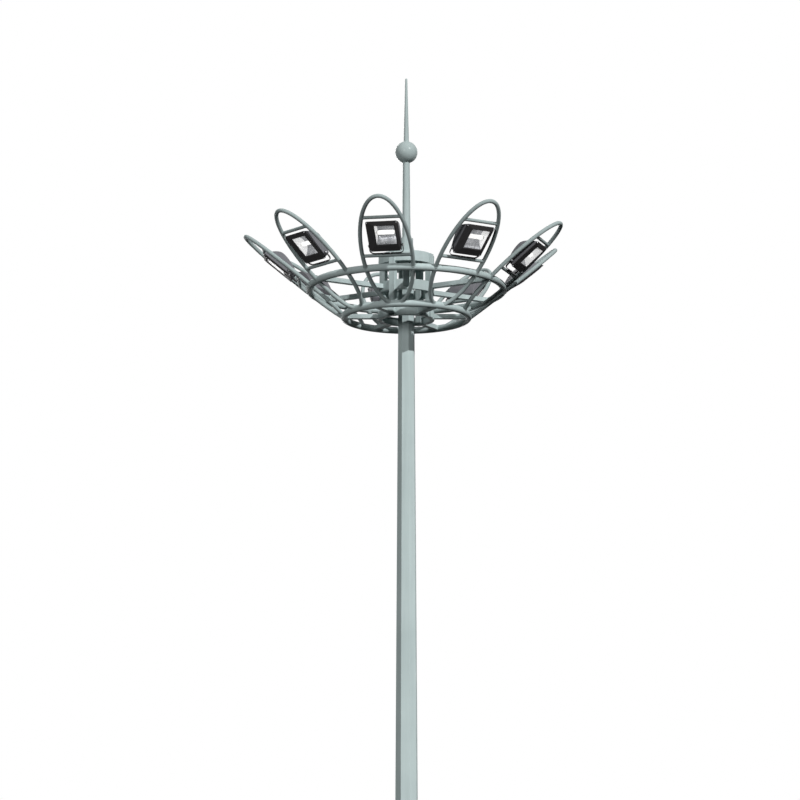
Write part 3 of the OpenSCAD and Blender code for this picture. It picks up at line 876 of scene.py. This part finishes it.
shaft = {"turn": 15, "bead": 0.008, "seam": 0.004, "seamDrop": 0.001, "ballSeat": 0.82}
finialBeads = {"finial_collar": 0.006, "finial_stem": 0.005, "finial_ball": 0.004, "finial_spike": 0.003}
lowerShaft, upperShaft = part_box("lower_shaft"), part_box("upper_shaft")
cornerShare = math.cos(math.radians(shaft["turn"]))


def buildMastWelds():
    bm = bmesh.new()
    foot = lowerShaft[1][0] / cornerShare
    addTube(bm, circlePoints(foot, lowerShaft[0][2], 8, shaft["turn"]), shaft["bead"], True, 3)
    lap = upperShaft[1][0] / cornerShare
    seamPoints = circlePoints(lap - shaft["seam"], upperShaft[0][2] - shaft["seamDrop"], 8, shaft["turn"])
    addTube(bm, seamPoints, shaft["seam"], True, 3)
    for node, radius in finialBeads.items():
        low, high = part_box(node)
        reach = high[0]
        if node == "finial_ball":
            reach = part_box("finial_stem")[1][0] * shaft["ballSeat"]
        addTube(bm, circlePoints(reach, low[2]), radius, True, 2)
    return bm


anchors = next(m for m in record["mounts"] if m["name"] == "anchor_bolts")["dims"]
anchor = {"stud": 0.0165, "studTop": 0.085, "core": 0.92, "thread": 0.0035, "threadFrom": 0.034,
          "threadSeat": 0.94, "threadWire": 0.0011, "nut": 0.030, "nutHeight": 0.026, "washer": 0.034,
          "washerHeight": 0.005, "bevel": 0.002}
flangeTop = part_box("base_flange")[1][2]


def buildAnchors():
    bm = bmesh.new()
    up = Vector((0, 0, 1))
    turns = int((anchor["studTop"] - anchor["threadFrom"]) / anchor["thread"])
    threadCircle = circlePoints(anchor["stud"] * anchor["threadSeat"], 0, 20)
    for at in circlePoints(anchors["pcd_mm"] / 2000, flangeTop, anchors["count"], shaft["turn"]):
        addCylinder(bm, at, up, anchor["washer"], anchor["washerHeight"], 32, bevel=softEdge)
        addCylinder(bm, at + up * anchor["washerHeight"], up, anchor["nut"], anchor["nutHeight"], 6,
                    bevel=anchor["bevel"])
        addCylinder(bm, at, up, anchor["stud"] * anchor["core"], anchor["studTop"], 24, bevel=anchor["bevel"])
        for i in range(turns):
            middle = at + Vector((0, 0, anchor["threadFrom"] + i * anchor["thread"]))
            addTube(bm, [middle + p for p in threadCircle], anchor["threadWire"], True, 1)
    return bm


addPiece("mast_welds", buildMastWelds(), finishes["weldPaint"], "mast", (), 50)
addPiece("anchor_studs", buildAnchors(), zincMetal, "mast")

door = {"facing": 262.5, "halfWidth": 0.057, "hinge": 0.008, "hingeLength": 0.05, "hingeShare": 0.6,
        "hingeInset": 0.001, "hingeUp": 0.004, "screw": 0.007, "screwHeight": 0.006, "inset": 0.016,
        "up": 0.001, "lock": 0.011, "lockHeight": 0.007, "lockInset": 1.4, "key": 0.6, "keyHeight": 0.006,
        "keyUp": 0.004, "keyBevel": 0.0006}


# The door's own frame: x to the right, y up and z out of the shaft, in the middle of its cover
def doorMatrix():
    low, high = [Vector(c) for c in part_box("service_door")]
    facing = math.radians(door["facing"])
    out = Vector((math.cos(facing), math.sin(facing), 0))
    side = Vector((-out.y, out.x, 0))
    lean = (lowerShaft[1][0] - upperShaft[1][0]) / (upperShaft[0][2] - lowerShaft[0][2])
    up = (Vector((0, 0, 1)) - out * lean).normalized()
    matrix = Matrix((side, up, side.cross(up))).transposed().to_4x4()
    matrix.translation = (low + high) / 2
    return matrix


def buildDoorFittings():
    bm = bmesh.new()
    low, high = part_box("service_door")
    halfHeight, halfWidth = (high[2] - low[2]) / 2, door["halfWidth"]
    out = (0, 0, 1)
    for y in (-1, 1):
        hingeLow = y * door["hingeShare"] * halfHeight - door["hingeLength"] / 2
        at = (-halfWidth + door["hingeInset"], hingeLow, door["hingeUp"])
        addCylinder(bm, at, (0, 1, 0), door["hinge"], door["hingeLength"], 20, bevel=softEdge)
    for y in (-1, 1):
        at = (halfWidth - door["inset"], y * (halfHeight - door["inset"] * 2), door["up"])
        addCylinder(bm, at, out, door["screw"], door["screwHeight"], 20, bevel=softEdge)
    lockAcross = halfWidth - door["inset"] * door["lockInset"]
    addCylinder(bm, (lockAcross, 0, door["up"]), out, door["lock"], door["lockHeight"], 28, bevel=softEdge)
    addCylinder(bm, (lockAcross, 0, door["keyUp"]), out, door["lock"] * door["key"], door["keyHeight"], 3,
                bevel=door["keyBevel"])
    return bm


bm = bmesh.new()
joinMoved(bm, buildDoorFittings(), doorMatrix())
addPiece("door_fittings", bm, zincMetal, "mast")
print("mast fittings made")


# Floor, lights, world and camera

stage = {"floorRadius": 3.4, "floorColour": (0.62, 0.63, 0.63, 1), "floorRoughness": 0.9, "skyTop": 0.07,
         "skyLow": 0.0, "skyFrom": -0.1, "skyTo": 0.15}
keyLight = {"turn": 37.5, "height": 30.3, "strength": 3.3, "softness": 0.8}
fillLight = {"turn": -22, "height": 9, "strength": 1.45, "softness": 16}
topLight = {"turn": 10, "height": 78, "strength": 0.1, "softness": 45}
backLight = {"turn": 195, "height": 8, "strength": 1.3, "softness": 40}

bm = bmesh.new()
bmesh.ops.create_circle(bm, cap_ends=True, segments=96, radius=stage["floorRadius"])
floorMesh = bpy.data.meshes.new("studio_floor")
bm.to_mesh(floorMesh)
bm.free()
floorMaterial = bpy.data.materials.new("paleFloor")
floorMaterial.use_nodes = True
floorShader = floorMaterial.node_tree.nodes["Principled BSDF"]
floorShader.inputs["Base Color"].default_value = stage["floorColour"]
floorShader.inputs["Roughness"].default_value = stage["floorRoughness"]
floorMesh.materials.append(floorMaterial)
floor = bpy.data.objects.new("studio_floor", floorMesh)
floor.location.z = cadBox[0][2]
scene.collection.objects.link(floor)


# A sun at a turn from the viewer's side and a height above the horizon, in degrees
def addSun(name, turn, height, strength, softness):
    sun = bpy.data.lights.new(name, "SUN")
    sun.energy = strength
    sun.angle = math.radians(softness)
    holder = bpy.data.objects.new(name, sun)
    towards = outward(turn) * math.cos(math.radians(height)) + Vector((0, 0, math.sin(math.radians(height))))
    holder.rotation_euler = towards.to_track_quat("Z", "Y").to_euler()
    scene.collection.objects.link(holder)


addSun("keySun", **keyLight)
addSun("fillSun", **fillLight)
addSun("topSun", **topLight)
addSun("backSun", **backLight)

world = bpy.data.worlds.new("studioWorld")
scene.world = world
world.use_nodes = True
tree = world.node_tree
tree.nodes.clear()


def addNode(kind, **settings):
    node = tree.nodes.new(kind)
    for name, value in settings.items():
        node.inputs[name.replace("_", " ")].default_value = value
    return node


# White where the camera, a reflection or a glass sees the world, and a dim sky for the shading
rays = addNode("ShaderNodeLightPath")
seen = rays.outputs["Is Camera Ray"]
for ray in ("Is Glossy Ray", "Is Transmission Ray"):
    either = addNode("ShaderNodeMath")
    either.operation = "MAXIMUM"
    tree.links.new(seen, either.inputs[0])
    tree.links.new(rays.outputs[ray], either.inputs[1])
    seen = either.outputs["Value"]
heading = addNode("ShaderNodeTexCoord")
split = addNode("ShaderNodeSeparateXYZ")
sky = addNode("ShaderNodeMapRange", From_Min=stage["skyFrom"], From_Max=stage["skyTo"],
              To_Min=stage["skyLow"], To_Max=stage["skyTop"])
soft = addNode("ShaderNodeBackground", Color=(1, 1, 1, 1))
white = addNode("ShaderNodeBackground", Color=(1, 1, 1, 1), Strength=1.0)
choose = addNode("ShaderNodeMixShader")
output = addNode("ShaderNodeOutputWorld")
tree.links.new(heading.outputs["Generated"], split.inputs["Vector"])
tree.links.new(split.outputs["Z"], sky.inputs["Value"])
tree.links.new(sky.outputs["Result"], soft.inputs["Strength"])
tree.links.new(seen, choose.inputs["Fac"])
tree.links.new(soft.outputs["Background"], choose.inputs[1])
tree.links.new(white.outputs["Background"], choose.inputs[2])
tree.links.new(choose.outputs["Shader"], output.inputs["Surface"])

# The photo's view: low in front of the mast, looking up, with the mast's axis a little right of the middle
view = {"distance": 35.43, "belowRing": 8.003, "pitch": 11.094, "focalPixels": 2904.743, "imagePixels": 800,
        "axisPixels": 406.5, "sensor": 36.0, "clipEnd": 500}
camera = bpy.data.cameras.new("photoCamera")
camera.sensor_fit = "HORIZONTAL"
camera.sensor_width = view["sensor"]
camera.lens = view["focalPixels"] / view["imagePixels"] * view["sensor"]
camera.clip_end = view["clipEnd"]
cameraObject = bpy.data.objects.new("photoCamera", camera)
yaw = math.atan((view["axisPixels"] - view["imagePixels"] / 2) / view["focalPixels"])
cameraObject.location = (0, -view["distance"], lowerRing["z"] - view["belowRing"])
cameraObject.rotation_euler = (math.radians(90 + view["pitch"]), 0, yaw)
scene.collection.objects.link(cameraObject)
scene.camera = cameraObject
scene.view_settings.view_transform = "Standard"
print("stage set")
